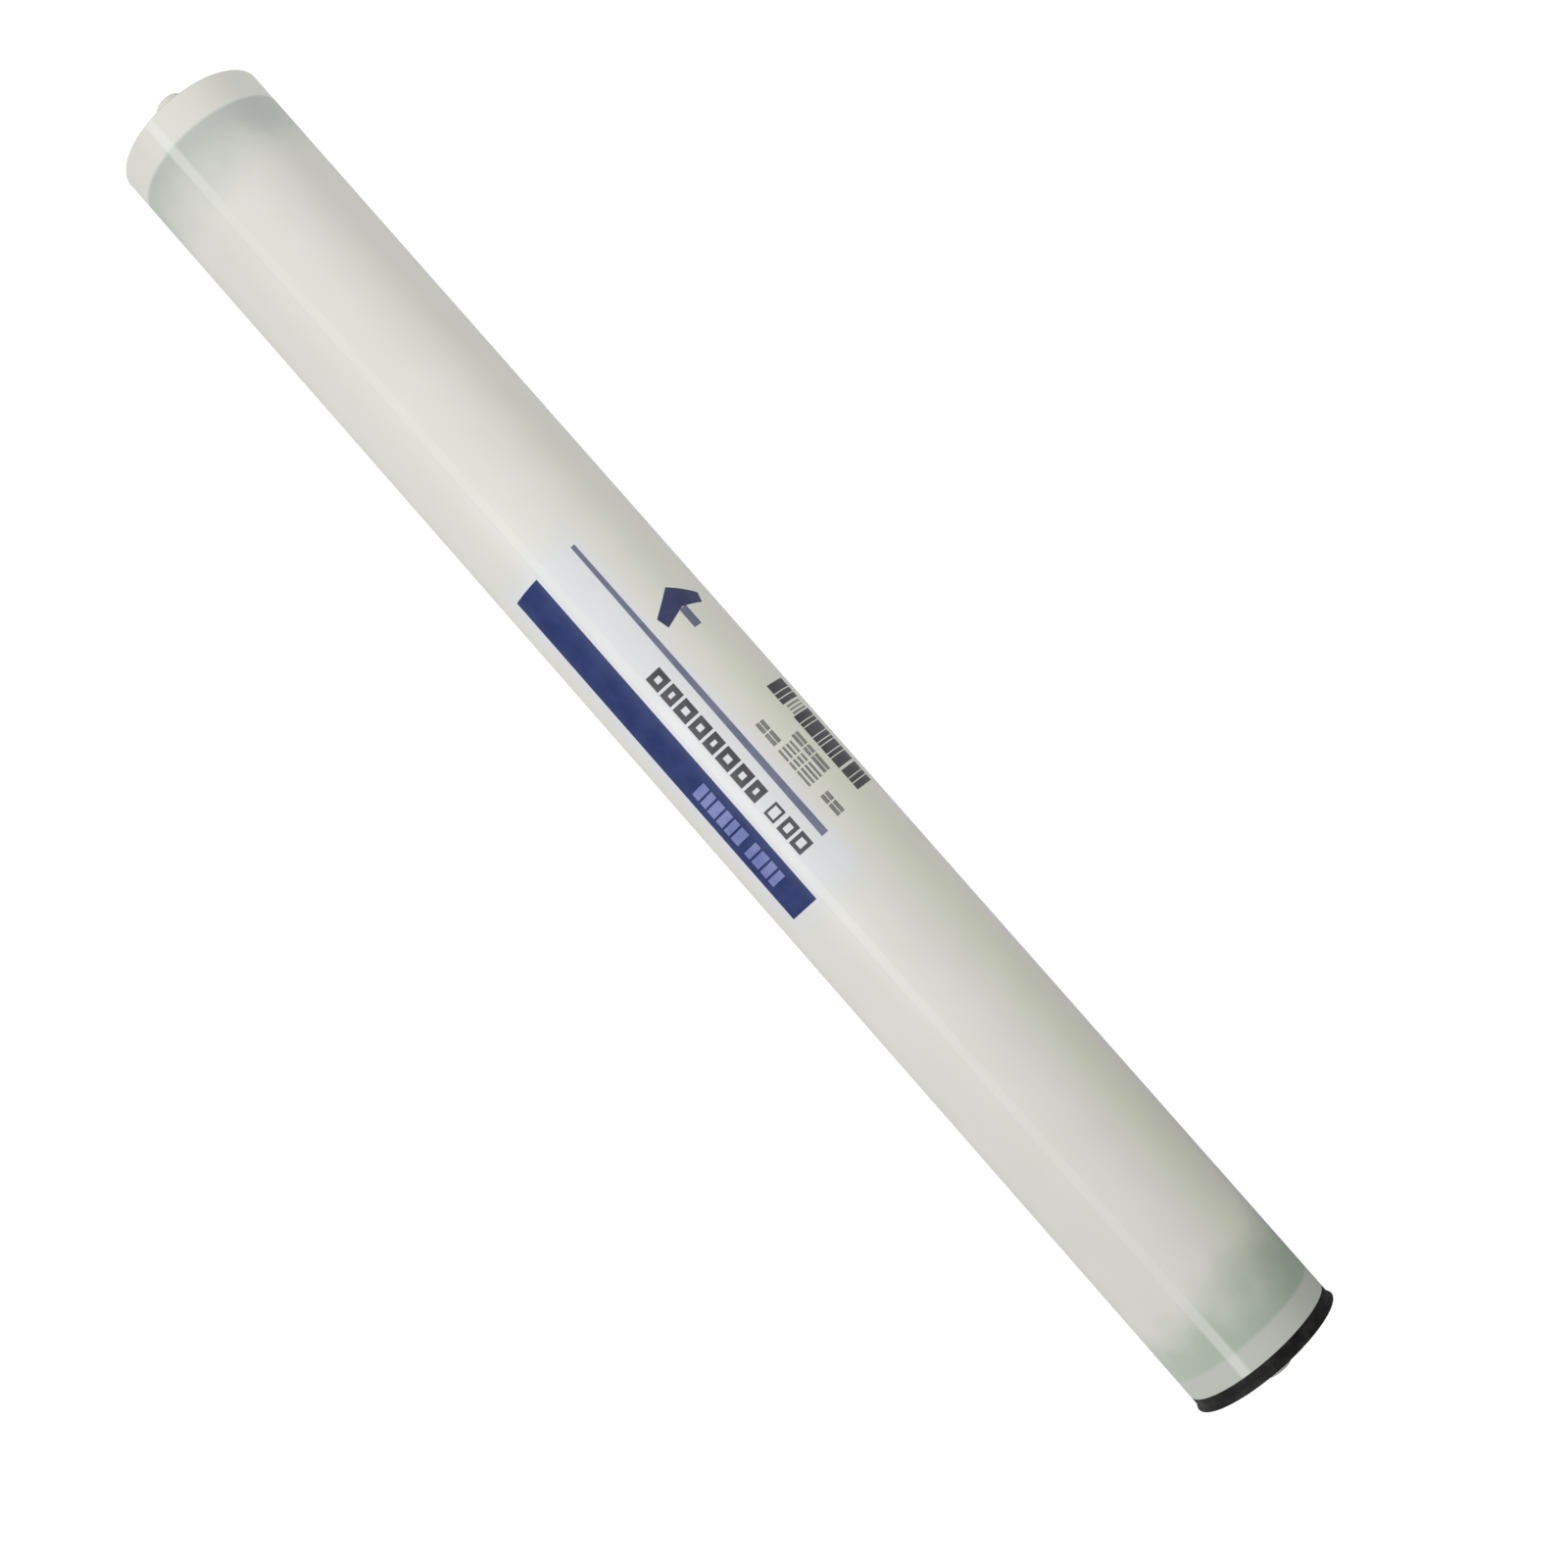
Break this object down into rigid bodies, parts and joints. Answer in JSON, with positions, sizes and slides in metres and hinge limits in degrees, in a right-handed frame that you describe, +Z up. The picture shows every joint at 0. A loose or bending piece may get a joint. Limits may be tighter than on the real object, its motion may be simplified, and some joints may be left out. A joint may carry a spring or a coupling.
{
  "type": "reverse osmosis membrane element",
  "caption": "Spiral-wound reverse osmosis element: long white wrapped cylinder with spoked end caps, permeate tube stubs and a black rubber brine seal at the feed end.",
  "frame": {"origin": "on the element's axis, half way along the permeate tube", "axes": "+X along the axis and out of the feed end, where the brine seal is; +Z up with the element lying on its side and its print facing up"},
  "size_m": [1.016, 0.104, 0.104],
  "materials": {
    "tube_plastic": "plain turned plastic",
    "membrane_sheet": "trimmed sheet edges",
    "net_plastic": "cut edge of an open net",
    "wrap_film": "milky satin film",
    "cap_plastic": "moulded, fine satin",
    "seal_rubber": "moulded, dull"
  },
  "bodies": {
    "root": {"permeate_tube": "tube_plastic", "membrane_roll": "membrane_sheet", "feed_net_1": "net_plastic", "feed_net_2": "net_plastic", "feed_net_3": "net_plastic", "feed_net_4": "net_plastic", "outer_wrap": "wrap_film", "feed_end_cap": "cap_plastic", "concentrate_end_cap": "cap_plastic", "brine_seal": "seal_rubber"}
  },
  "joints": []
}
